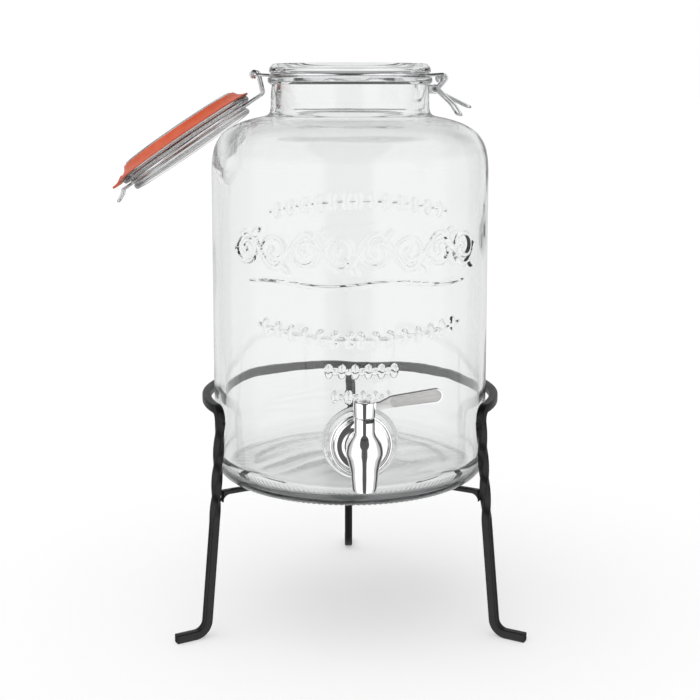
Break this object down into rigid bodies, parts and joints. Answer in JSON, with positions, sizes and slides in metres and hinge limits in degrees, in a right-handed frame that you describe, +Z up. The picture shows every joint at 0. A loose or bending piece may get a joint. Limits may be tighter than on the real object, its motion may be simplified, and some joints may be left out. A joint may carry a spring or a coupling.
{
  "type": "beverage dispenser",
  "caption": "Clear glass drinks jar with a hinged clip-top lid and a lever tap, lifted off the counter by a twisted black steel bar stand.",
  "frame": {"origin": "middle of the object's footprint with the lid open, on the surface that the stand's three feet rest on", "axes": "+Z up along the jar; -Y is the front, where the tap is; the lid opens to -X and the latch is at +X"},
  "size_m": [0.3044, 0.294, 0.4144],
  "materials": {
    "satin_black_paint": "satin",
    "clear_glass": "polished",
    "polished_chrome": "polished",
    "steel_wire": "bright",
    "orange_rubber": "satin",
    "black_rubber": "matt",
    "clear_rubber": "satin"
  },
  "bodies": {
    "stand": {"stand_hoop": "satin_black_paint", "front_left_leg": "satin_black_paint", "front_right_leg": "satin_black_paint", "back_leg": "satin_black_paint", "front_left_support_arm": "satin_black_paint", "front_right_support_arm": "satin_black_paint", "back_support_arm": "satin_black_paint"},
    "jar": {"glass_jar": "clear_glass", "neck_band": "steel_wire", "tap_body": "polished_chrome", "tap_flange": "polished_chrome", "front_washer": "clear_rubber", "rear_washer": "black_rubber", "lock_nut": "steel_wire"},
    "tap_lever": {"tap_handle": "polished_chrome", "valve_plug": "steel_wire", "stem_o_ring": "black_rubber", "handle_screw": "polished_chrome"},
    "lid": {"lid_glass": "clear_glass", "lid_gasket": "orange_rubber", "lid_wire": "steel_wire"},
    "clamp_lever": {"clamp_lever": "steel_wire"},
    "clamp_link": {"clamp_link": "steel_wire"}
  },
  "joints": [
    {"name": "jar_lift", "type": "slide", "parent": "stand", "child": "jar", "axis": [0, 0, 1], "range_m": [0, 0.07]},
    {"name": "tap_turn", "type": "hinge", "parent": "jar", "child": "tap_lever", "pos_m": [0.03386, -0.13457, 0.156], "axis": [0, 0, 1], "range_deg": [-90, 0]},
    {"name": "lid_hinge", "type": "hinge", "parent": "jar", "child": "lid", "pos_m": [-0.0455, 0.0021, 0.4066], "axis": [0, 1, 0], "range_deg": [0, 214.2], "deforming": ["lid_gasket"]},
    {"name": "clamp_lever_pivot", "type": "hinge", "parent": "jar", "child": "clamp_lever", "pos_m": [0.0918, 0.0021, 0.404], "axis": [0, 1, 0], "range_deg": [-150, 10]},
    {"name": "clamp_link_pivot", "type": "hinge", "parent": "clamp_lever", "child": "clamp_link", "pos_m": [0.0853, 0.0021, 0.396], "axis": [0, -1, 0], "range_deg": [-8, 120.4]}
  ]
}
